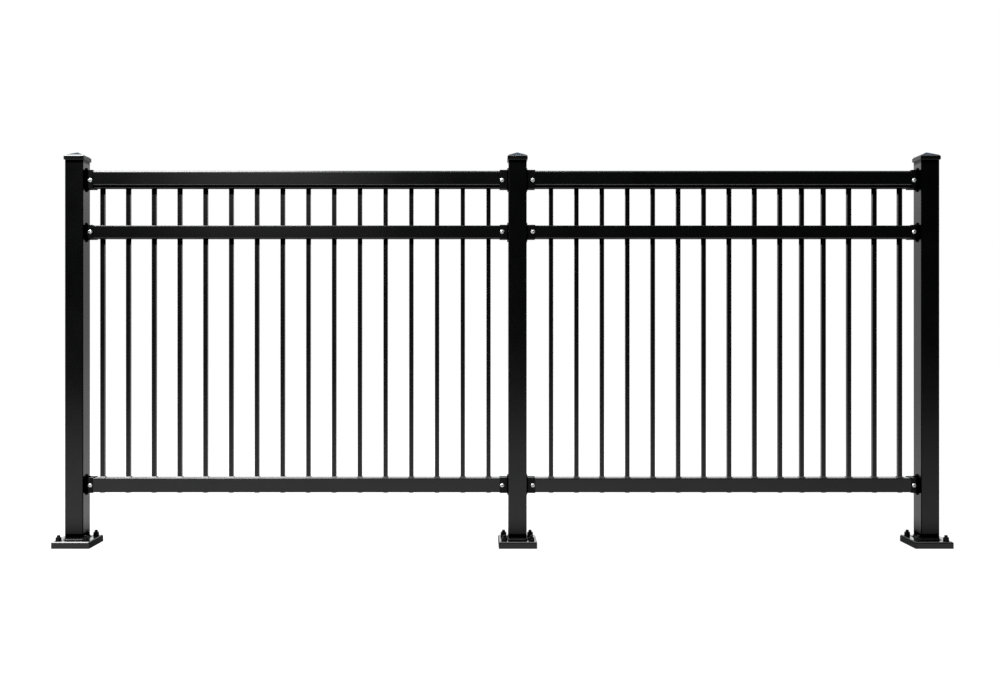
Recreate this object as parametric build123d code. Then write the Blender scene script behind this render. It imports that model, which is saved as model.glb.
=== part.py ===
from build123d import *
from math import sqrt
import os

# Layout, in millimetres: the origin is on the ground under the middle post,
# +X runs along the fence to the right, the front faces -Y and +Z is up.
fence_height = 1372.0      # ground to the peaks of the post caps
left_bay = 1538.0          # centre of the middle post to the centre of the left post
right_bay = 1431.0         # centre of the middle post to the centre of the right post

# Posts: square tube with rounded corners
post_size = 63.5
post_wall = 3.0
post_radius = 3.0

# Post caps: a skirt round the head of the post under a low hollow pyramid
cap_wall = 2.9
cap_fit = 0.35             # skirt to post, each side
cap_skirt = 13.0           # height of the skirt
cap_rise = 17.2            # skirt to peak
cap_bevel = 4.5            # steeper band between the skirt and the pyramid
cap_tip = 3.0              # small flat at the peak
cap_seat = 3.0             # thickness over the end of the post
cap_edge = 0.8             # rounding of the skirt's upright edges
cap_hem = 2.2              # rounding of its lower edge

# Base plates, with the weld that runs round the foot of the post
plate_size = 132.0
plate_thickness = 23.0
plate_radius = 4.0         # upright corners
plate_bevel = 4.0          # top edges
weld_leg = 8.0             # height of the hollow weld up the post
weld_toe = 0.8             # thickness of its upper edge
weld_hollow = 7.2          # radius of its hollow face
weld_fit = 0.1             # weld to post, each side

# Anchors: stud, washer and hexagon nut at each corner of a plate
anchor_reach = 15.25       # face of the post to the centre of an anchor
stud_diameter = 12.0
stud_height = 20.0         # stud end above the plate
stud_bevel = 1.5
stud_hole_fit = 0.5        # stud to plate hole, each side
thread_fit = 0.2           # stud to nut and washer, each side
washer_diameter = 21.0
washer_thickness = 2.5
nut_flats = 18.0
nut_height = 10.0
nut_bevel = 1.2

# Rails: rectangular tube; the top rail is open below and holds a punched channel
rail_height = 49.5         # bottom rail
second_rail_height = 45.0
top_rail_height = 50.5
rail_depth = 44.0
rail_wall = 2.0
rail_radius = 3.5
crown_radius = 8.5         # upper edges of the top rail
rail_lip = 7.0             # turned-in lower edges of the top rail, from its faces
ground_gap = 186.5         # ground to the underside of the bottom rail
top_rail_drop = 66.0       # peak of the caps down to the top of the top rail
rail_gap = 140.5           # top rail down to the second rail
channel_drop = 10.0        # how far the channel shows below the top rail
channel_height = 26.0
channel_wall = 2.0
channel_radius = 3.0       # lower edges of the channel
channel_fit = 0.3          # channel to the lips of the top rail, each side

# Pickets: square tube that runs through the rails
picket_size = 15.0
picket_wall = 1.2
picket_radius = 1.5
picket_fit = 0.25          # picket to punched hole, each side
picket_tip = 3.5           # below the bottom rail
picket_reach = 12.0        # above the underside of the channel
picket_weld = 4.0          # leg of the weld round a picket on the bottom rail
left_first_picket = 88.9   # centre of the left post to the first picket
left_pitch = 89.9
right_first_picket = 117.9  # centre of the middle post to the first picket
right_pitch = 88.9
narrow_pitch = 76.0        # the two closer gaps of the right panel
narrow_from = 900.0        # centre of the middle post to where the closer gaps may start
narrow_to = 1060.0         # and to where the last of them has started
picket_end_room = 85.0     # least distance from the last picket to the next post's centre

# Brackets: a socket round the rail's end on a flange with an ear above and below
socket_wall = 1.6
socket_fit = 0.3           # socket to rail, each side
socket_length = 30.0       # post face to the open end
socket_edge = 0.8
flange_thickness = 2.2
flange_margin = 3.0        # flange beyond the socket, front and back
ear_width = 28.0
ear_reach = 10.0           # ear beyond the socket, above and below
ear_hole = 5.0
rail_end_gap = 1.0         # rail end to flange

# Bracket screws, one through the front of each socket
screw_offset = 21.5        # post face to the screw
screw_shank = 6.0
screw_hole_fit = 0.25      # screw to its holes, each side
screw_length = 14.0
screw_head = 14.4
screw_head_height = 4.6
top_screw_drop = 4.0       # below the middle of the top sockets

# Worked out from the sizes above
post_top = fence_height - cap_rise - cap_seat
top_rail_z = fence_height - top_rail_drop - top_rail_height
channel_z = top_rail_z - channel_drop
second_rail_z = top_rail_z - rail_gap - second_rail_height
bottom_rail_z = ground_gap
anchor_spacing = post_size + 2 * anchor_reach
socket_gap = socket_fit + socket_wall
front_face = -(rail_depth / 2 + socket_gap)

least_radius = 0.4         # smallest rounding inside a tube

posts = {"left": -left_bay, "middle": 0.0, "right": right_bay}


def rounded_prism(width, depth, radius, z0, z1):
    return extrude(Plane.XY.offset(z0) * RectangleRounded(width, depth, radius), z1 - z0)


def block(width, depth, z0, z1):
    return extrude(Plane.XY.offset(z0) * Rectangle(width, depth), z1 - z0)


def pyramid(base, tip, z0, z1):
    return loft([Plane.XY.offset(z0) * Rectangle(base, base), Plane.XY.offset(z1) * Rectangle(tip, tip)])


def rod(diameter, height):
    return extrude(Circle(diameter / 2), height)


def make_post():
    tube = rounded_prism(post_size, post_size, post_radius, plate_thickness, post_top)
    bore = post_size - 2 * post_wall
    return tube - rounded_prism(bore, bore, inside(post_radius, post_wall), plate_thickness, post_top)


def make_cap():
    skirt_size = post_size + 2 * (cap_fit + cap_wall)
    skirt_top = fence_height - cap_rise
    skirt = block(skirt_size, skirt_size, skirt_top - cap_skirt, skirt_top)
    skirt = fillet(skirt.edges().filter_by(Axis.Z), cap_edge)
    skirt = fillet(skirt.faces().sort_by(Axis.Z)[0].edges(), cap_hem)
    shoulder = skirt_size - 2 * cap_bevel
    cap = skirt + pyramid(skirt_size - 2 * cap_edge, shoulder, skirt_top, skirt_top + cap_bevel)
    cap += pyramid(shoulder, cap_tip, skirt_top + cap_bevel, fence_height)
    hollow = post_size + 2 * cap_fit
    bore = post_size - 2 * post_wall
    cap -= rounded_prism(hollow, hollow, post_radius, skirt_top - cap_skirt, post_top)
    return cap - pyramid(bore, cap_tip, post_top, post_top + cap_rise * bore / skirt_size)


def make_base_plate():
    plate = rounded_prism(plate_size, plate_size, plate_radius, 0, plate_thickness)
    plate = chamfer(plate.faces().sort_by(Axis.Z)[-1].edges(), plate_bevel)
    collar = post_size + 2 * weld_toe
    weld_top = plate_thickness + weld_leg
    plate += rounded_prism(collar, collar, post_radius + weld_toe, plate_thickness, weld_top)
    level = plate.edges().filter_by_position(Axis.Z, plate_thickness, plate_thickness)
    reach = collar / 2 + weld_toe
    root = level.filter_by_position(Axis.X, -reach, reach).filter_by_position(Axis.Y, -reach, reach)
    plate = fillet(root, weld_hollow)
    foot = post_size + 2 * weld_fit
    plate -= rounded_prism(foot, foot, post_radius, plate_thickness, weld_top)
    return plate - anchor_places(rod(stud_diameter + 2 * stud_hole_fit, plate_thickness))


def anchor_places(piece):
    return [place * piece for place in GridLocations(anchor_spacing, anchor_spacing, 2, 2)]


def ring(outer, inner, z0, height):
    sketch = Circle(outer / 2) - Circle(inner / 2)
    return extrude(Plane.XY.offset(z0) * sketch, height)


def make_studs():
    stud = rod(stud_diameter, plate_thickness + stud_height)
    stud = chamfer(stud.edges().sort_by(Axis.Z)[-1], stud_bevel)
    return Compound(children=anchor_places(stud))


def make_washers():
    washer = ring(washer_diameter, stud_diameter + 2 * thread_fit, plate_thickness, washer_thickness)
    return Compound(children=anchor_places(washer))


def make_nuts():
    seat = plate_thickness + washer_thickness
    across_corners = 2 * nut_flats / sqrt(3)
    blank = rod(across_corners, nut_height)
    blank = chamfer(blank.edges().filter_by(GeomType.CIRCLE), nut_bevel)
    hexagon = extrude(RegularPolygon(nut_flats / 2, 6, major_radius=False), nut_height)
    nut = (hexagon & blank) - rod(stud_diameter + 2 * thread_fit, nut_height)
    nut = Pos(0, 0, seat) * nut
    return Compound(children=anchor_places(nut))


def along(x0, x1, z_mid, sketch):
    return extrude(Plane.YZ.offset(x0) * Pos(0, z_mid) * sketch, x1 - x0)


def rail_span(x0, x1):
    end = post_size / 2 + flange_thickness + rail_end_gap
    return x0 + end, x1 - end


def picket_holes(centres, z0, z1):
    hole = picket_size + 2 * picket_fit
    return [Pos(x, 0, 0) * block(hole, hole, z0, z1) for x in centres]


def drill(x, z):
    return Pos(x, 0, z) * Rot(90, 0, 0) * rod(screw_shank + 2 * screw_hole_fit, -front_face)


def screw_holes(x0, x1, z):
    inset = post_size / 2 + screw_offset
    return [drill(x, z) for x in (x0 + inset, x1 - inset)]


def rounded_section(width, height, lower_radius, upper_radius=0.0):
    section = Rectangle(width, height)
    section = fillet(section.vertices().sort_by(Axis.Y)[:2], lower_radius)
    if upper_radius > 0:
        section = fillet(section.vertices().sort_by(Axis.Y)[-2:], upper_radius)
    return section


def inside(radius, wall):
    return max(radius - wall, least_radius)


def rail_section(height, upper_radius):
    outer = rounded_section(rail_depth, height, rail_radius, upper_radius)
    bore = rounded_section(rail_depth - 2 * rail_wall, height - 2 * rail_wall,
                           inside(rail_radius, rail_wall), inside(upper_radius, rail_wall))
    return outer - bore


def make_tube_rail(x0, x1, z0, height, centres, screw_z, weld=0.0):
    start, end = rail_span(x0, x1)
    top = z0 + height
    rail = along(start, end, z0 + height / 2, rail_section(height, rail_radius))
    if weld > 0:
        bead = pyramid(picket_size + 2 * weld, picket_size, top, top + weld)
        rail += [Pos(x, 0, 0) * bead for x in centres]
    return rail - picket_holes(centres, z0, top + weld) - screw_holes(x0, x1, screw_z)


def make_top_rail(x0, x1, screw_z):
    start, end = rail_span(x0, x1)
    mouth = Rectangle(rail_depth - 2 * rail_lip, 2 * rail_wall)
    section = rail_section(top_rail_height, crown_radius)
    section -= Pos(0, (rail_wall - top_rail_height) / 2) * mouth
    rail = along(start, end, top_rail_z + top_rail_height / 2, section)
    return rail - screw_holes(x0, x1, screw_z)


def make_channel(x0, x1, centres, screw_z):
    start, end = rail_span(x0, x1)
    width = rail_depth - 2 * (rail_lip + channel_fit)
    section = rounded_section(width, channel_height, channel_radius)
    trough = rounded_section(width - 2 * channel_wall, channel_height, inside(channel_radius, channel_wall))
    section -= Pos(0, channel_wall) * trough
    channel = along(start, end, channel_z + channel_height / 2, section)
    channel -= picket_holes(centres, channel_z, channel_z + channel_wall)
    return channel - screw_holes(x0, x1, screw_z)


def make_pickets(centres):
    z0 = bottom_rail_z - picket_tip
    z1 = channel_z + picket_reach
    bore = picket_size - 2 * picket_wall
    bar = rounded_prism(picket_size, picket_size, picket_radius, z0, z1) - block(bore, bore, z0, z1)
    return Compound(children=[Pos(x, 0, 0) * bar for x in centres])


def picket_centres(start, bay, first, pitch, closer=False):
    centres = []
    offset = first
    while offset <= bay - picket_end_room:
        centres.append(start + offset)
        offset += narrow_pitch if closer and narrow_from <= offset < narrow_to else pitch
    return centres


def make_bracket(post_x, side, z0, z1, screw_z):
    face = post_size / 2
    low = z0 - socket_gap
    high = z1 + socket_gap
    height = high - low
    depth = rail_depth + 2 * socket_gap
    middle = (low + high) / 2
    outer = Rectangle(depth, height)
    inner = Rectangle(depth - 2 * socket_wall, height - 2 * socket_wall)
    socket = along(face, face + socket_length, middle, outer)
    long_edges = socket.edges().filter_by(Axis.X)
    mouth_edges = socket.faces().sort_by(Axis.X)[-1].edges()
    socket = fillet(long_edges + mouth_edges, socket_edge)
    plate = Rectangle(depth + 2 * flange_margin, height)
    plate += SlotOverall(height + 2 * ear_reach, ear_width, rotation=90)
    ear_offset = (height + ear_reach) / 2
    for z in (ear_offset, -ear_offset):
        plate -= Pos(0, z) * Circle(ear_hole / 2)
    bracket = socket + along(face, face + flange_thickness, middle, plate)
    bracket -= along(face + flange_thickness, face + socket_length, middle, inner)
    bracket -= drill(face + screw_offset, screw_z)
    if side < 0:
        bracket = bracket.mirror(Plane.YZ)
    return Pos(post_x, 0, 0) * bracket


def make_screws(post_x, side, heights):
    radius = screw_head / 2
    dome = (radius ** 2 + screw_head_height ** 2) / (2 * screw_head_height)
    top = sqrt(dome ** 2 - (radius / 2) ** 2) - (dome - screw_head_height)
    outline = Polyline((0, screw_head_height), (0, -screw_length), (screw_shank / 2, -screw_length),
                       (screw_shank / 2, 0), (radius, 0))
    crown = ThreePointArc((radius, 0), (radius / 2, top), (0, screw_head_height))
    profile = Plane.XZ * make_face([*outline.edges(), crown])
    screw = Rot(90, 0, 0) * revolve(profile, Axis.Z)
    x = post_x + side * (post_size / 2 + screw_offset)
    return Compound(children=[Pos(x, front_face, z) * screw for z in heights])


def save(name, shape):
    export_step(shape, f"parts/{name}.step")


os.makedirs("parts", exist_ok=True)

for name, x in posts.items():
    place = Pos(x, 0, 0)
    save(f"{name}_post", place * make_post())
    save(f"{name}_post_cap", place * make_cap())
    save(f"{name}_base_plate", place * make_base_plate())
    save(f"{name}_anchor_studs", place * make_studs())
    save(f"{name}_anchor_washers", place * make_washers())
    save(f"{name}_anchor_nuts", place * make_nuts())

# Each level: underside of what the socket holds, and its top
levels = {
    "top": (channel_z, top_rail_z + top_rail_height),
    "second": (second_rail_z, second_rail_z + second_rail_height),
    "bottom": (bottom_rail_z, bottom_rail_z + rail_height),
}
screw_heights = {level: (low + high) / 2 for level, (low, high) in levels.items()}
screw_heights["top"] -= top_screw_drop

# Each panel: its two post centres and the centres of its pickets
panels = {
    "left": (-left_bay, 0.0, picket_centres(-left_bay, left_bay, left_first_picket, left_pitch)),
    "right": (0.0, right_bay, picket_centres(0.0, right_bay, right_first_picket, right_pitch, True)),
}
for name, (x0, x1, centres) in panels.items():
    save(f"{name}_top_rail", make_top_rail(x0, x1, screw_heights["top"]))
    save(f"{name}_top_channel", make_channel(x0, x1, centres, screw_heights["top"]))
    second_rail = make_tube_rail(x0, x1, second_rail_z, second_rail_height, centres, screw_heights["second"])
    save(f"{name}_second_rail", second_rail)
    screw_z = screw_heights["bottom"]
    bottom_rail = make_tube_rail(x0, x1, bottom_rail_z, rail_height, centres, screw_z, picket_weld)
    save(f"{name}_bottom_rail", bottom_rail)
    save(f"{name}_pickets", make_pickets(centres))

# Each side of a post that carries a panel: which way the brackets point
bracket_sides = {
    "left_post": (-left_bay, 1),
    "middle_post_left": (0.0, -1),
    "middle_post_right": (0.0, 1),
    "right_post": (right_bay, -1),
}
for name, (x, side) in bracket_sides.items():
    for level, (low, high) in levels.items():
        save(f"{name}_{level}_bracket", make_bracket(x, side, low, high, screw_heights[level]))
    save(f"{name}_bracket_screws", make_screws(x, side, screw_heights.values()))
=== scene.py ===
import math
import bpy
import bmesh
from mathutils import Matrix, Vector


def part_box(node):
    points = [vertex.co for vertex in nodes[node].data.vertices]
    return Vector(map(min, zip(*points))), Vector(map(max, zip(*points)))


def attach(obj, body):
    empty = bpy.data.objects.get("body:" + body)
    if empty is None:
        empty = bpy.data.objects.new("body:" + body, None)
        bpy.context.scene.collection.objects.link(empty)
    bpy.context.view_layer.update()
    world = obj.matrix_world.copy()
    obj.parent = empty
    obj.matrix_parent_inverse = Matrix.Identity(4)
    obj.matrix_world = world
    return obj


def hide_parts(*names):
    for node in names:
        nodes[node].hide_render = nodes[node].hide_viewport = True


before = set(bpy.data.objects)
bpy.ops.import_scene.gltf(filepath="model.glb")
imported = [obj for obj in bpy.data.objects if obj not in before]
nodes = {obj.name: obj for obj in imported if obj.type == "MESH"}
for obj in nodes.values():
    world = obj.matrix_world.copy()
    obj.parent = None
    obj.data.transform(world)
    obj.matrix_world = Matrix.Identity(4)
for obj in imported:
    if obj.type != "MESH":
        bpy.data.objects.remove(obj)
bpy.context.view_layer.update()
print("fence loaded,", len(nodes), "nodes")


class Value:
    # one shader socket; plain maths on it adds Math nodes
    def __init__(self, tree, output=None):
        self.tree = tree
        self.output = output

    def node(self, kind, settings=None, sockets=None, output=0):
        made = self.tree.nodes.new(kind)
        for key, setting in (settings or {}).items():
            setattr(made, key, setting)
        for key, given in (sockets or {}).items():
            if isinstance(given, Value):
                self.tree.links.new(given.output, made.inputs[key])
            else:
                made.inputs[key].default_value = given
        return Value(self.tree, made.outputs[output] if len(made.outputs) else None)

    def pick(self, name):
        return Value(self.tree, self.output.node.outputs[name])

    def maths(self, operation, first, second):
        return self.node("ShaderNodeMath", {"operation": operation}, {0: first, 1: second})

    def __add__(self, other):
        return self.maths("ADD", self, other)

    def __radd__(self, other):
        return self.maths("ADD", other, self)

    def __sub__(self, other):
        return self.maths("SUBTRACT", self, other)

    def __rsub__(self, other):
        return self.maths("SUBTRACT", other, self)

    def __mul__(self, other):
        return self.maths("MULTIPLY", self, other)

    def __rmul__(self, other):
        return self.maths("MULTIPLY", other, self)


def startMaterial(name):
    material = bpy.data.materials.new(name)
    material.use_nodes = True
    material.node_tree.nodes.clear()
    return material, Value(material.node_tree)


# Camera, level and square to the fence
view = {"place": (-0.1300, -3.500, 0.7512), "lens": 36.02, "shift": (0.0199, -0.020)}

cameraData = bpy.data.cameras.new("photoCamera")
cameraData.sensor_width = 36.0
cameraData.lens = view["lens"]
cameraData.shift_x, cameraData.shift_y = view["shift"]
cameraData.clip_end = 200.0
camera = bpy.data.objects.new("photoCamera", cameraData)
camera.location = view["place"]
camera.rotation_euler = (math.radians(90.0), 0.0, 0.0)
bpy.context.collection.objects.link(camera)
bpy.context.scene.camera = camera
bpy.context.scene.view_settings.view_transform = "Standard"

# Studio: a room that is white behind the fence and dim behind the camera
studio = {
    "backLight": 0.75,     # what faces turned to the back mirror
    "frontLight": 0.02,    # and what the front faces mirror above the floor
    "wallTilt": (1.08, 0.82),    # share of both from left to right
    "bandLight": 1.5,      # bright band low on the back wall, mirrored by the plate tops
    "scatter": 0.85,       # share of the room's light that reaches matt faces
    "upperTint": (0.18, 0.46, 0.76),    # the upper room in mirrored rays
    "wallTurn": (0.10, 0.75),    # heading over which the front turns into the back
    "wallSpan": (-0.5, 0.5),
    "bandFrom": (0.13, 0.18),    # how high the band starts and ends
    "bandTo": (0.27, 0.36),
    "bandTurn": (0.3, 0.8),
    "upperFrom": (0.34, 0.66),
    "floorGlow": 0.93,     # the floor near the fence, as the camera sees it
    "farGlow": 1.02,       # and far away
    "mirrorGlow": 0.80,    # the floor as glossy faces mirror it
    "footShade": 0.95,     # painted contact shadow: how much darker that is close behind the plates' fronts
    "frontTilt": (1.08, 0.70),   # painted light: its share in front of the fence, from left to right
    "backTilt": (0.86, 1.04),    # and behind it
    "floorScatter": 0.5,   # the floor's light on matt faces
    "glowSpan": (0.36, 5.8),     # squared distance from the near glow to the far one
    "shadeFrom": (-0.070, -0.050),    # where the foot shade starts and ends
    "shadeTo": (0.10, 0.35),
    "frontSpan": (0.3, 2.8),
    "backSpan": (-1.2, 1.2),
    "backFrom": (0.1, 0.5),      # where the floor behind takes over
    "floorColour": 0.12,
    "floorFront": -4.3,
    "floorBack": 16.0,
    "floorWide": 16.0,
    "floorDrop": 0.0006,   # keeps the floor clear of the plates
}


def ramp(value, low, high, fromZero=0.0, toOne=1.0):
    return value.node("ShaderNodeMapRange", {"interpolation_type": "SMOOTHSTEP"},
                      {"Value": value, "From Min": low, "From Max": high, "To Min": fromZero, "To Max": toOne})


world = bpy.data.worlds.new("studio")
bpy.context.scene.world = world
world.use_nodes = True
world.node_tree.nodes.clear()
room = Value(world.node_tree)
rays = room.node("ShaderNodeLightPath", output="Is Camera Ray")
mirrored = rays.pick("Is Glossy Ray") + rays.pick("Is Transmission Ray")
heading = room.node("ShaderNodeSeparateXYZ", None, {0: room.node("ShaderNodeTexCoord", output="Generated")}, "Y")
rising = heading.pick("Z")
wall = ramp(heading, *studio["wallTurn"], studio["frontLight"], studio["backLight"])
wall = wall * ramp(heading.pick("X"), *studio["wallSpan"], *studio["wallTilt"])
band = ramp(rising, *studio["bandFrom"]) - ramp(rising, *studio["bandTo"])
glow = wall + band * ramp(heading, *studio["bandTurn"]) * studio["bandLight"]
glow = rays + mirrored * glow + (1.0 - rays - mirrored) * glow * studio["scatter"]
upper = ramp(rising, *studio["upperFrom"]) * mirrored
air = room.node("ShaderNodeMix", {"data_type": "RGBA"},
                {0: upper, 6: (1.0, 1.0, 1.0, 1.0), 7: (*studio["upperTint"], 1.0)}, 2)
sky = room.node("ShaderNodeBackground", None, {"Color": air, "Strength": glow})
room.node("ShaderNodeOutputWorld", None, {"Surface": sky})

floorMaterial, shade = startMaterial("studioFloor")
rays = shade.node("ShaderNodeLightPath", output="Is Camera Ray")
mirrored = rays.pick("Is Glossy Ray") + rays.pick("Is Transmission Ray")
away = shade.node("ShaderNodeSeparateXYZ", None, {0: shade.node("ShaderNodeTexCoord", output="Object")}, "Y")
aside = away.pick("X")
bright = ramp(away * away, *studio["glowSpan"], studio["floorGlow"], studio["farGlow"])
# painted contact shadow in the mirrored floor close behind the plates' fronts, and painted light that changes from
# left to right
close = ramp(away, *studio["shadeFrom"]) - ramp(away, *studio["shadeTo"])
frontPart = ramp(aside, *studio["frontSpan"], *studio["frontTilt"])
backPart = ramp(aside, *studio["backSpan"], *studio["backTilt"])
tilt = frontPart + ramp(away, *studio["backFrom"]) * (backPart - frontPart)
mirror = mirrored * (1.0 - close * studio["footShade"]) * tilt
seen = rays * bright + mirror * studio["mirrorGlow"] + (1.0 - rays - mirrored) * studio["floorScatter"]
pale = (studio["floorColour"],) * 3 + (1.0,)
matt = shade.node("ShaderNodeBsdfDiffuse", None, {"Color": pale})
lit = shade.node("ShaderNodeEmission", None, {"Color": (1.0, 1.0, 1.0, 1.0), "Strength": seen})
both = shade.node("ShaderNodeAddShader", None, {0: matt, 1: lit})
shade.node("ShaderNodeOutputMaterial", None, {"Surface": both})

bm = bmesh.new()
bmesh.ops.create_grid(bm, x_segments=1, y_segments=1, size=1.0)
depth = (studio["floorBack"] - studio["floorFront"]) / 2.0
middle = (studio["floorBack"] + studio["floorFront"]) / 2.0
bmesh.ops.scale(bm, vec=(studio["floorWide"], depth, 1.0), verts=bm.verts)
bmesh.ops.translate(bm, vec=(0.0, middle, -studio["floorDrop"]), verts=bm.verts)
floorMesh = bpy.data.meshes.new("studioFloor")
bm.to_mesh(floorMesh)
bm.free()
floorMesh.materials.append(floorMaterial)
floor = bpy.data.objects.new("studioFloor", floorMesh)
bpy.context.collection.objects.link(floor)

# Softboxes: power in watts, size in metres
lamps = {
    "frontSoftbox": {"place": (-1.9, -2.5, 3.5), "aim": (-0.4, 0.0, 0.6), "size": (2.2, 1.6), "power": 60.0},
    "sideCard": {"place": (-1.60, -3.5, 2.0), "aim": (-0.8, 0.0, 1.2), "size": (1.3, 0.9), "power": 4.2},
    "leftOverhead": {"place": (-2.65, 0.0, 4.0), "aim": (-2.65, 0.0, 0.0), "size": (2.9, 2.4), "power": 460.0},
    "overhead": {"place": (1.0, 0.0, 4.2), "aim": (1.0, 0.0, 0.0), "size": (4.2, 1.8), "power": 40.0},
    "capCard": {"place": (0.1, 0.5, 4.1), "aim": (0.1, 0.5, 0.0), "size": (0.5, 0.4), "power": 18.0},
    "bevelStrip": {"place": (0.0, -0.97, 4.2), "aim": (0.0, -0.97, 0.0), "size": (2.2, 0.6), "power": 35.0},
    "rightBevelStrip": {"place": (2.3, -0.97, 4.2), "aim": (2.3, -0.97, 0.0), "size": (2.4, 0.6), "power": 16.0},
    "leftBevelStrip": {"place": (-3.0, -0.95, 4.1), "aim": (-3.0, -0.95, 0.0), "size": (2.6, 0.6), "power": 90.0},
}

for name, lamp in lamps.items():
    lampData = bpy.data.lights.new(name, "AREA")
    lampData.shape = "RECTANGLE"
    lampData.size, lampData.size_y = lamp["size"]
    lampData.energy = lamp["power"]
    softbox = bpy.data.objects.new(name, lampData)
    softbox.location = lamp["place"]
    aim = Vector(lamp["aim"]) - Vector(lamp["place"])
    softbox.rotation_euler = aim.to_track_quat("-Z", "Y").to_euler()
    softbox.visible_camera = False
    bpy.context.collection.objects.link(softbox)
print("camera and studio ready")


# what the powder coats share
coating = {"driftRough": 0.10, "grainRough": 0.08, "relief": 0.0002, "peelShare": 0.8, "footDull": 0.85,
           "capShadowSides": 0.4, "shadeColour": 0.0004, "mattRoughness": 0.85}


def powderCoat(name, look):
    material, coat = startMaterial(name)
    place = coat.node("ShaderNodeTexCoord", output="Object")
    along = coat.node("ShaderNodeSeparateXYZ", None, {0: place}, "X")
    height = along.pick("Z")
    normal = coat.node("ShaderNodeNewGeometry", output="Normal")
    sideways = coat.node("ShaderNodeSeparateXYZ", None, {0: normal}, "X")
    upward = sideways.pick("Z")
    peel = coat.node("ShaderNodeTexNoise", None,
                     {"Vector": place, "Scale": look["peelScale"], "Detail": 2.0, "Roughness": 0.5})
    grain = coat.node("ShaderNodeTexNoise", None, {"Vector": place, "Scale": look["grainScale"], "Detail": 1.0})
    drift = coat.node("ShaderNodeTexNoise", None, {"Vector": place, "Scale": look["driftScale"], "Detail": 3.0})
    tone = coat.node("ShaderNodeMix", {"data_type": "RGBA"},
                     {0: drift, 6: (*look["dark"], 1.0), 7: (*look["light"], 1.0)}, 2)
    if "edge" in look:
        # painted highlight: the lower rounded edges are made lighter
        edgeHighlight = ramp(upward, -0.98, -0.88) - ramp(upward, -0.40, -0.15)
        tone = coat.node("ShaderNodeMix", {"data_type": "RGBA"}, {0: edgeHighlight, 6: tone, 7: (*look["edge"], 1.0)}, 2)
    rough = look["roughness"] + (drift - 0.5) * coating["driftRough"] + (grain - 0.5) * coating["grainRough"]
    bumps = peel * coating["peelShare"] + grain * (1.0 - coating["peelShare"])
    relief = coat.node("ShaderNodeBump", None,
                       {"Strength": look["peelDepth"], "Distance": coating["relief"], "Height": bumps})
    surface = coat.node("ShaderNodeBsdfPrincipled", None,
                        {"Base Color": tone, "Roughness": rough, "Specular IOR Level": look["gloss"],
                         "Normal": relief})
    paintedShade = []
    if "foot" in look:
        # painted shade: matt black above the weld, fading upward, for the dark floor that the foot mirrors, and a
        # painted shadow strip under the cap
        fade = coat.node("ShaderNodeMapRange", None,
                         {"Value": height, "From Min": look["foot"], "From Max": look["footFade"],
                          "To Min": coating["footDull"], "To Max": 0.0})
        footShadeBand = ramp(height, look["foot"] - 0.001, look["foot"] + 0.005, 1.0, 0.0)
        capShadowStrip = ramp(height, look["head"] - 0.003, look["head"] + 0.002)
        paintedShade += [fade * fade, footShadeBand, capShadowStrip * (1.0 - sideways * sideways * coating["capShadowSides"])]
        # painted shade: the rounded corners of the outer posts turn matt black between the faces
        corner = sideways * sideways.pick("Y")
        paintedShade.append(ramp(corner * corner, 0.01, 0.07, 0.0, look["corner"]) * ramp(along * along, 0.1, 0.5))
    if "under" in look:
        # painted shade: matt black on the faces that look down
        paintedShade.append(ramp(upward, -0.985, -0.93, look["under"], 0.0))
    if "sides" in look:
        # painted shade: matt black on the faces that look to the left and to the right
        toLeft, toRight = look["sides"]
        paintedShade += [ramp(sideways, -0.97, -0.80, toLeft, 0.0), ramp(sideways, 0.80, 0.97, 0.0, toRight)]
    for postX, reach in look.get("nearPosts", ()):
        # dull where the bracket lies in the shade of its post
        away = (along - postX) * (along - postX)
        paintedShade.append(ramp(away, (reach - 0.003) ** 2, (reach + 0.002) ** 2, 1.0, 0.0))
    for low, high, soft, fade in look.get("shaded", ()):
        # painted shade: level matt black bands, soft below and faded above
        paintedShade.append(ramp(height, low - soft, low + soft) - ramp(height, high, high + fade))
    if paintedShade:
        # the painted shade blends the coat into a matt black
        matt = coat.node("ShaderNodeBsdfPrincipled", None,
                         {"Base Color": (coating["shadeColour"],) * 3 + (1.0,),
                          "Roughness": coating["mattRoughness"], "Specular IOR Level": 0.0, "Normal": relief})
        surface = coat.node("ShaderNodeMixShader", None, {0: sum(paintedShade[1:], paintedShade[0]), 1: surface, 2: matt})
    coat.node("ShaderNodeOutputMaterial", None, {"Surface": surface})
    return material


# foot, head and corner on the posts, edge on the top rail, and under, sides, nearPosts and shaded mark painted shade
# and painted highlights
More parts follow.
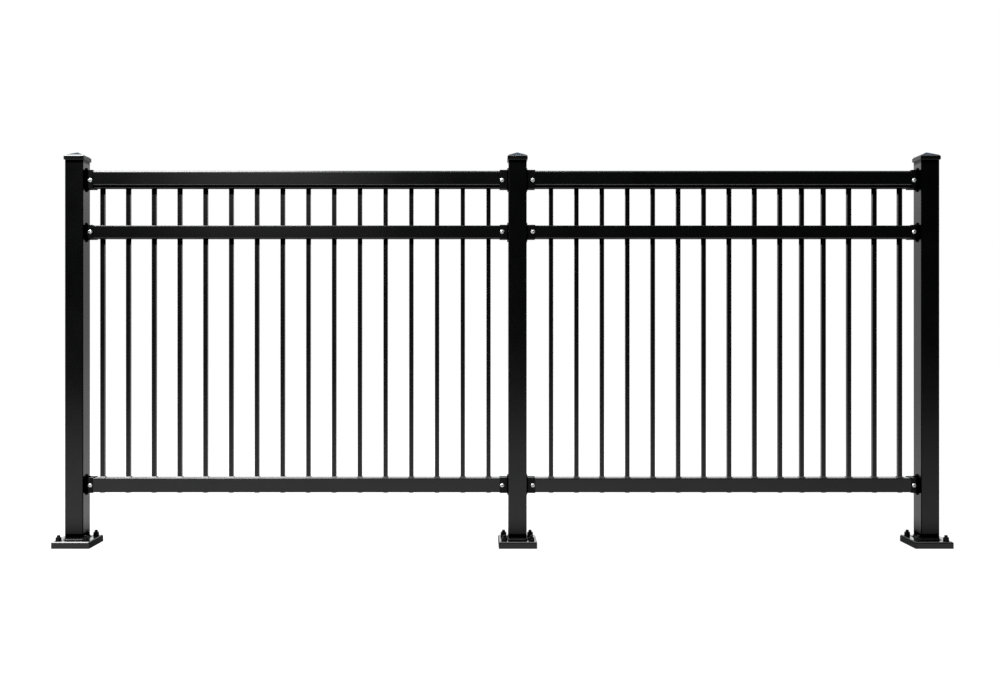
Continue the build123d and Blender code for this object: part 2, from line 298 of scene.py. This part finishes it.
coats = {
    "postCoat": {"dark": (0.0003, 0.0004, 0.0005), "light": (0.0006, 0.0007, 0.0009), "roughness": 0.24,
                 "gloss": 0.36, "peelScale": 620.0, "grainScale": 2400.0, "driftScale": 9.0, "peelDepth": 0.12,
                 "foot": 0.041, "footFade": 0.115, "head": 1.332, "corner": 0.9},
    "capCoat": {"dark": (0.0010, 0.0012, 0.0015), "light": (0.0018, 0.0021, 0.0025), "roughness": 0.26,
                "gloss": 0.42, "peelScale": 700.0, "grainScale": 2600.0, "driftScale": 14.0, "peelDepth": 0.05,
                "sides": (0.35, 0.50)},
    "plateCoat": {"dark": (0.0010, 0.0011, 0.0012), "light": (0.0018, 0.0019, 0.0021), "roughness": 0.18,
                  "gloss": 0.36, "peelScale": 520.0, "grainScale": 2000.0, "driftScale": 12.0, "peelDepth": 0.06,
                  "sides": (0.0, 0.60), "shaded": ((0.0182, 0.0197, 0.0006, 0.0013),)},
    "topRailCoat": {"dark": (0.0008, 0.0009, 0.0010), "light": (0.0014, 0.0015, 0.0016), "roughness": 0.25,
                    "gloss": 0.40, "peelScale": 640.0, "grainScale": 2400.0, "driftScale": 8.0, "peelDepth": 0.05,
                    "edge": (0.060, 0.061, 0.063)},
    "picketCoat": {"dark": (0.0007, 0.0008, 0.0009), "light": (0.0014, 0.0015, 0.0016), "roughness": 0.25,
                   "gloss": 0.40, "peelScale": 760.0, "grainScale": 2600.0, "driftScale": 10.0, "peelDepth": 0.04,
                   "shaded": ((1.224, 1.246, 0.004, 0.002), (1.049, 1.071, 0.004, 0.002))},
    "bracketCoat": {"dark": (0.0005, 0.0005, 0.0006), "light": (0.0010, 0.0010, 0.0011), "roughness": 0.42,
                    "gloss": 0.14, "peelScale": 900.0, "grainScale": 3000.0, "driftScale": 22.0, "peelDepth": 0.12,
                    "under": 0.85, "sides": (0.92, 0.92),
                    "nearPosts": ((-1.538, 0.047), (0.0, 0.037), (1.431, 0.047))},
    "anchorCoat": {"dark": (0.0005, 0.0005, 0.0006), "light": (0.0011, 0.0011, 0.0012), "roughness": 0.58,
                   "gloss": 0.18, "peelScale": 1200.0, "grainScale": 3600.0, "driftScale": 60.0, "peelDepth": 0.25},
    "recessShade": {"dark": (0.020, 0.020, 0.021), "light": (0.045, 0.045, 0.047), "roughness": 0.60,
                    "gloss": 0.30, "peelScale": 1500.0, "grainScale": 4200.0, "driftScale": 90.0,
                    "peelDepth": 0.20},
    "darkRingCoat": {"dark": (0.0004, 0.0004, 0.0004), "light": (0.0009, 0.0009, 0.0009), "roughness": 0.72,
                     "gloss": 0.12, "peelScale": 1500.0, "grainScale": 4200.0, "driftScale": 80.0,
                     "peelDepth": 0.35},
}
# painted shade under the lower rails and the channel, and on the channel also just under the top rail
coats["railCoat"] = {**coats["topRailCoat"], "under": 0.85, "edge": (0.0014, 0.0015, 0.0016)}
coats["channelCoat"] = {**coats["railCoat"], "under": 0.90, "shaded": ((1.2490, 1.2556, 0.0008, 0.002),)}
# the welds are rougher, with painted shade along the toe
coats["weldCoat"] = {**coats["plateCoat"], "roughness": 0.32, "gloss": 0.26, "sides": (0.0, 0.0),
                     "shaded": ((0.0222, 0.0240, 0.0006, 0.002),)}
finishes = {name: powderCoat(name, look) for name, look in coats.items()}

zinc = {"dark": (0.54, 0.55, 0.56), "light": (0.66, 0.67, 0.68), "roughness": 0.34, "roughSpread": 0.20,
        "metal": 0.55, "streakScale": 900.0, "spangleScale": 700.0, "streakShare": 0.7, "reliefDepth": 0.12,
        "relief": 0.0001}

material, steel = startMaterial("screwZinc")
place = steel.node("ShaderNodeTexCoord", output="Object")
streak = steel.node("ShaderNodeTexNoise", None, {"Vector": place, "Scale": zinc["streakScale"], "Detail": 4.0})
spangle = steel.node("ShaderNodeTexVoronoi", None, {"Vector": place, "Scale": zinc["spangleScale"]})
tone = steel.node("ShaderNodeMix", {"data_type": "RGBA"},
                  {0: streak, 6: (*zinc["dark"], 1.0), 7: (*zinc["light"], 1.0)}, 2)
rough = zinc["roughness"] + (streak - 0.5) * zinc["roughSpread"]
scratches = streak * zinc["streakShare"] + spangle * (1.0 - zinc["streakShare"])
relief = steel.node("ShaderNodeBump", None,
                    {"Strength": zinc["reliefDepth"], "Distance": zinc["relief"], "Height": scratches})
surface = steel.node("ShaderNodeBsdfPrincipled", None,
                     {"Base Color": tone, "Roughness": rough, "Metallic": zinc["metal"], "Normal": relief})
steel.node("ShaderNodeOutputMaterial", None, {"Surface": surface})
finishes["screwZinc"] = material

# which finish each CAD node takes, by the end of its name
nodeFinish = {
    "_post": "postCoat", "_post_cap": "capCoat", "_base_plate": "plateCoat", "_rail": "railCoat",
    "_top_rail": "topRailCoat", "_top_channel": "channelCoat", "_pickets": "picketCoat", "_bracket": "bracketCoat",
    "_anchor_studs": "anchorCoat", "_anchor_washers": "anchorCoat", "_anchor_nuts": "anchorCoat",
    "_bracket_screws": "screwZinc",
}
for name, node in nodes.items():
    ending = max((end for end in nodeFinish if name.endswith(end)), key=len)
    node.data.materials.clear()
    node.data.materials.append(finishes[nodeFinish[ending]])
print("finishes ready:", len(finishes))


smoothBelow = math.radians(38.0)    # edges sharper than this stay sharp


def finishPiece(name, bm, finish, replaced=()):
    for face in bm.faces:
        face.smooth = True
    for edge in bm.edges:
        edge.smooth = edge.calc_face_angle(0.0) < smoothBelow
    mesh = bpy.data.meshes.new(name)
    bm.to_mesh(mesh)
    bm.free()
    mesh.materials.append(finishes[finish])
    piece = bpy.data.objects.new(name, mesh)
    bpy.context.collection.objects.link(piece)
    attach(piece, "root")
    if replaced:
        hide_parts(*replaced)
    return piece


def spun(outline, steps):
    # a turned shape from its half outline of radius and height
    bm = bmesh.new()
    verts = [bm.verts.new((radius, 0.0, height)) for radius, height in outline]
    edges = [bm.edges.new(pair) for pair in zip(verts, verts[1:])]
    bmesh.ops.spin(bm, geom=verts + edges, cent=(0, 0, 0), axis=(0, 0, 1), angle=2 * math.pi, steps=steps,
                   use_merge=True)
    bmesh.ops.remove_doubles(bm, verts=bm.verts, dist=1e-6)
    bmesh.ops.recalc_face_normals(bm, faces=bm.faces)
    return bm


def stamp(target, shape, places):
    # copies of one shape into a larger mesh
    mesh = bpy.data.meshes.new("stamp")
    for place in places:
        copy = shape.copy()
        bmesh.ops.transform(copy, matrix=place, verts=copy.verts)
        copy.to_mesh(mesh)
        copy.free()
        target.from_mesh(mesh)
    bpy.data.meshes.remove(mesh)


def drivenHead(head):
    # domed head with a hexagon socket and a plain shank, along +Z from the seat
    radius, rise = head["radius"], head["rise"]
    ball = (radius ** 2 + rise ** 2) / (2 * rise)
    mouth = head["socket"] * 1.25
    outline = [(0.0, -head["length"]), (head["shank"] * 0.7, -head["length"]),
               (head["shank"], -head["length"] + head["shank"] * 0.4), (head["shank"], 0.0)]
    outline += [(radius - 0.0002, 0.0), (radius, 0.0003)]
    for step in range(1, 8):
        reach = radius + (mouth - radius) * step / 7
        outline.append((reach, math.sqrt(ball ** 2 - reach ** 2) - ball + rise))
    bm = spun(outline, head["steps"])
    rim = [edge for edge in bm.edges if edge.is_boundary]
    hexed = bmesh.ops.extrude_edge_only(bm, edges=rim)["geom"]
    ring = [item for item in hexed if isinstance(item, bmesh.types.BMVert)]
    for vert in ring:
        turn = math.atan2(vert.co.y, vert.co.x) % math.radians(60.0) - math.radians(30.0)
        reach = head["socket"] / math.cos(turn)
        flat = vert.co.xy.normalized() * reach
        vert.co.x, vert.co.y = flat
    edges = [item for item in hexed if isinstance(item, bmesh.types.BMEdge)]
    sunk = bmesh.ops.extrude_edge_only(bm, edges=edges)["geom"]
    bottom = [item for item in sunk if isinstance(item, bmesh.types.BMVert)]
    bmesh.ops.translate(bm, vec=(0.0, 0.0, -head["depth"]), verts=bottom)
    bmesh.ops.edgeloop_fill(bm, edges=[item for item in sunk if isinstance(item, bmesh.types.BMEdge)])
    bmesh.ops.recalc_face_normals(bm, faces=bm.faces)
    # the socket's walls and floor take the second finish, a darker painted shade
    for vert in bottom:
        for face in vert.link_faces:
            face.material_index = 1
    return bm


# Bright screws on the fronts of the sockets, each on a thin black ring that shows dark round its head
faceScrew = {"radius": 0.0072, "rise": 0.0046, "shank": 0.0030, "length": 0.0140, "socket": 0.0020,
             "depth": 0.0020, "steps": 36, "topDrop": 0.0040}
darkRing = {"outer": 0.0094, "inner": 0.0060, "thick": 0.0009}

screwShape = drivenHead(faceScrew)
outer, inner, thick = darkRing["outer"], darkRing["inner"], darkRing["thick"]
washerShape = spun([(inner, 0.0), (outer, 0.0), (outer, thick * 0.6), (outer - thick * 0.4, thick),
                    (inner, thick), (inner, 0.0)], 36)
levels = ("top", "second", "bottom")
sides = {"left_post": 1.0, "middle_post_left": -1.0, "middle_post_right": 1.0, "right_post": -1.0}
for side in sides:
    low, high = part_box(side + "_bracket_screws")
    x = (low.x + high.x) / 2
    seat = low.y + faceScrew["rise"]
    heights = []
    for level in levels:
        bracketLow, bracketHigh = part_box(side + "_" + level + "_bracket")
        heights.append((bracketLow.z + bracketHigh.z) / 2)
    # the top screw stands below the middle of its socket, as the node has it
    heights[0] -= faceScrew["topDrop"]
    front = Matrix.Rotation(math.radians(90.0), 4, "X")
    screws = bmesh.new()
    stamp(screws, screwShape, [Matrix.Translation((x, seat - thick, z)) @ front for z in heights])
    piece = finishPiece(side + "FaceScrews", screws, "screwZinc", [side + "_bracket_screws"])
    # the socket recesses take a darker finish: painted shade
    piece.data.materials.append(finishes["recessShade"])
    washers = bmesh.new()
    stamp(washers, washerShape, [Matrix.Translation((x, seat, z)) @ front for z in heights])
    finishPiece(side + "DarkRings", washers, "darkRingCoat")
print("bracket screws ready")

# Dark screws through the ears of the brackets into the posts
earScrew = {"radius": 0.0040, "rise": 0.0018, "shank": 0.0022, "length": 0.0050, "socket": 0.0012,
            "depth": 0.0008, "steps": 24, "fromTip": 0.0050, "flange": 0.0022}

earShape = drivenHead(earScrew)
for side, way in sides.items():
    ears = bmesh.new()
    for level in levels:
        low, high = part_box(side + "_" + level + "_bracket")
        x = low.x + earScrew["flange"] if way > 0 else high.x - earScrew["flange"]
        turn = Matrix.Rotation(math.radians(90.0) * way, 4, "Y")
        stamp(ears, earShape, [Matrix.Translation((x, 0.0, z)) @ turn
                               for z in (low.z + earScrew["fromTip"], high.z - earScrew["fromTip"])])
    finishPiece(side + "EarScrews", ears, "anchorCoat")
print("ear screws ready")

# Threaded anchor studs
stud = {"radius": 0.0060, "root": 0.00505, "pitch": 0.00175, "steps": 22, "threadFrom": 0.0345, "chamfer": 0.0015,
        "overlap": 0.0005, "edge": 0.0002}

low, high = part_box("middle_anchor_studs")
studTop = high.z
spacing = high.x - low.x - 2 * stud["radius"]
turns = math.ceil((studTop - stud["threadFrom"]) / stud["pitch"]) + 1
thread = bmesh.new()
pitch, root, crest = stud["pitch"], stud["root"], stud["radius"]
start = stud["threadFrom"] - pitch
verts = [thread.verts.new((radius, 0.0, start + pitch * rise)) for radius, rise in
         ((root, 0.0), (root, 0.12), (crest, 0.48), (crest, 0.60), (root, 1.0))]
edges = [thread.edges.new(pair) for pair in zip(verts, verts[1:])]
bmesh.ops.spin(thread, geom=verts + edges, cent=(0, 0, 0), axis=(0, 0, 1), dvec=(0, 0, pitch / stud["steps"]),
               angle=2 * math.pi * turns, steps=stud["steps"] * turns)
bmesh.ops.remove_doubles(thread, verts=thread.verts, dist=1e-6)
for height, upper in ((studTop, True), (stud["threadFrom"], False)):
    geom = thread.verts[:] + thread.edges[:] + thread.faces[:]
    bmesh.ops.bisect_plane(thread, geom=geom, dist=1e-7, plane_co=(0, 0, height), plane_no=(0, 0, 1),
                           clear_outer=upper, clear_inner=not upper)
for vert in thread.verts:
    # the chamfer at the tip
    reach = crest - max(0.0, vert.co.z - (studTop - stud["chamfer"]))
    if vert.co.xy.length > reach:
        vert.co.xy = vert.co.xy.normalized() * reach
bmesh.ops.holes_fill(thread, edges=[edge for edge in thread.edges if edge.is_boundary], sides=0)
bmesh.ops.recalc_face_normals(thread, faces=thread.faces)
shankTop = stud["threadFrom"] + stud["overlap"]
shank = spun([(0.0, 0.0), (crest - stud["edge"], 0.0), (crest, stud["edge"]), (crest, shankTop), (0.0, shankTop)], 24)
stamp(thread, shank, [Matrix.Identity(4)])
corners = [(x * spacing / 2, y * spacing / 2) for x in (-1, 1) for y in (-1, 1)]
for post in ("left", "middle", "right"):
    low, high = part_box(post + "_anchor_studs")
    x = (low.x + high.x) / 2
    studs = bmesh.new()
    stamp(studs, thread, [Matrix.Translation((x + dx, dy, 0.0)) for dx, dy in corners])
    finishPiece(post + "ThreadedStuds", studs, "anchorCoat", [post + "_anchor_studs"])
print("anchor studs ready")

# Rippled weld bead, hollow in section, round the foot of each post
bead = {"half": 0.03255, "corner": 0.0038, "cuts": 120, "ripple": 0.0040, "rise": 0.00018, "skin": 0.00012,
        "top": 0.0310, "hollow": 0.0072, "plate": 0.0230, "rows": 7, "tuck": 0.0006,
        "slant": 0.35}

beadShape = bmesh.new()
bmesh.ops.create_circle(beadShape, cap_ends=False, segments=4, radius=bead["half"] * math.sqrt(2.0))
bmesh.ops.rotate(beadShape, cent=(0, 0, 0), matrix=Matrix.Rotation(math.radians(45.0), 3, "Z"),
                 verts=beadShape.verts)
bmesh.ops.bevel(beadShape, geom=beadShape.verts[:], offset=bead["corner"], offset_type="OFFSET",
                affect="VERTICES", segments=6, profile=0.5, material=-1)
longEdges = [edge for edge in beadShape.edges if edge.calc_length() > bead["half"]]
bmesh.ops.subdivide_edges(beadShape, edges=longEdges, cuts=bead["cuts"])
for vert in beadShape.verts:
    vert.co.z = bead["top"] + bead["skin"]
    vert.co.xy -= vert.co.xy.normalized() * bead["tuck"]
loop = beadShape.edges[:]
inset = bead["half"] - bead["corner"]
section = [(bead["skin"], bead["top"], 0.0)]
for row in range(bead["rows"] + 1):
    turn = math.pi / 2 * row / bead["rows"]
    section.append((bead["hollow"] * (1.0 - math.cos(turn)), bead["plate"] + bead["hollow"] * (1.0 - math.sin(turn)),
                    turn))
for out, height, turn in section:
    grown = bmesh.ops.extrude_edge_only(beadShape, edges=loop)["geom"]
    ring = [item for item in grown if isinstance(item, bmesh.types.BMVert)]
    loop = [item for item in grown if isinstance(item, bmesh.types.BMEdge)]
    for vert in ring:
        core = Vector((max(-inset, min(inset, vert.co.x)), max(-inset, min(inset, vert.co.y)), 0.0))
        outward = Vector((vert.co.x - core.x, vert.co.y - core.y, 0.0)).normalized()
        along = core.x if abs(outward.y) > abs(outward.x) else core.y
        wave = 0.5 + 0.5 * math.cos((along + out * bead["slant"]) / bead["ripple"] * 2 * math.pi)
        proud = bead["skin"] + bead["rise"] * wave * math.sin(2.0 * turn)
        vert.co = core + outward * (bead["corner"] + out + proud * math.cos(turn))
        vert.co.z = height + proud * math.sin(turn)
bmesh.ops.recalc_face_normals(beadShape, faces=beadShape.faces)
for post in ("left", "middle", "right"):
    low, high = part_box(post + "_post")
    welds = bmesh.new()
    stamp(welds, beadShape, [Matrix.Translation(((low.x + high.x) / 2, 0.0, 0.0))])
    finishPiece(post + "FootWeld", welds, "weldCoat")
print("foot welds ready")
